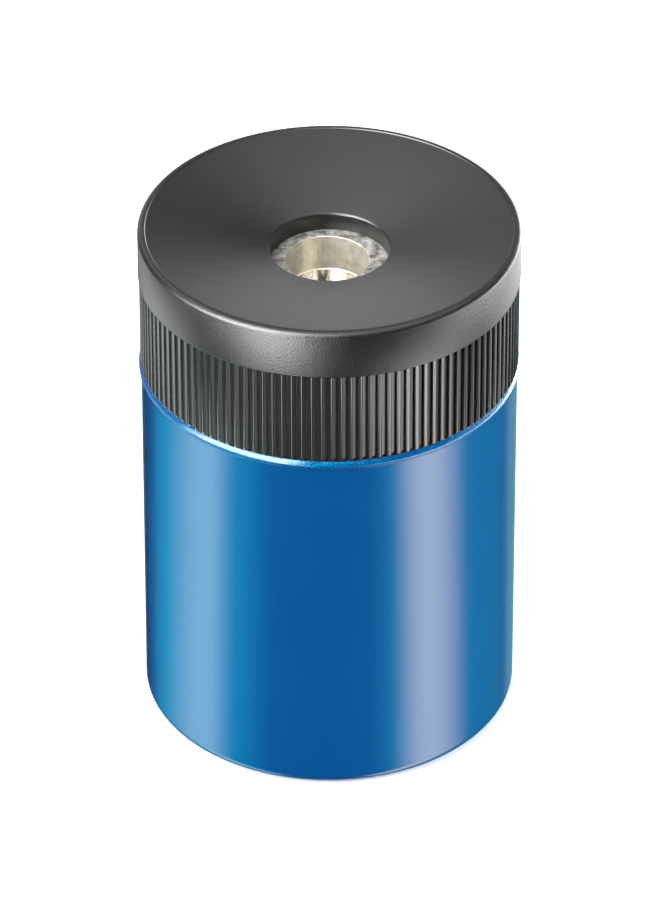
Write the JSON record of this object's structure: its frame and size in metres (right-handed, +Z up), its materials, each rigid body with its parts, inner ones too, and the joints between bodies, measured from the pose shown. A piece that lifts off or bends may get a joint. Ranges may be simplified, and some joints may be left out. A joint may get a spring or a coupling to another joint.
{
  "type": "tub pencil sharpener",
  "caption": "Round metal tub that catches pencil shavings, with a ribbed plug-in lid that carries a wedge sharpener under a funnel-shaped opening.",
  "frame": {"origin": "centre of the ring that the tub stands on", "axes": "+Z up along the axis of the tub and the lid, -Y towards the side that the blade faces, +X to the right"},
  "size_m": [0.038, 0.038, 0.0549],
  "materials": {
    "tub_lacquer": "glossy blue lacquer on drawn metal",
    "lid_plastic": "satin black moulded plastic with a fine grain",
    "block_metal": "cast light metal, grainy outside, with a reamed bright bore",
    "blade_steel": "ground hardened steel",
    "screw_steel": "nickel-plated steel"
  },
  "bodies": {
    "tub": {"tub": "tub_lacquer"},
    "lid": {"lid": "lid_plastic", "sharpener_body": "block_metal", "blade": "blade_steel", "blade_screw": "screw_steel"}
  },
  "joints": [
    {"name": "lid_lift", "type": "slide", "parent": "tub", "child": "lid", "axis": [0, 0, 1], "range_m": [0, 0.035]}
  ]
}
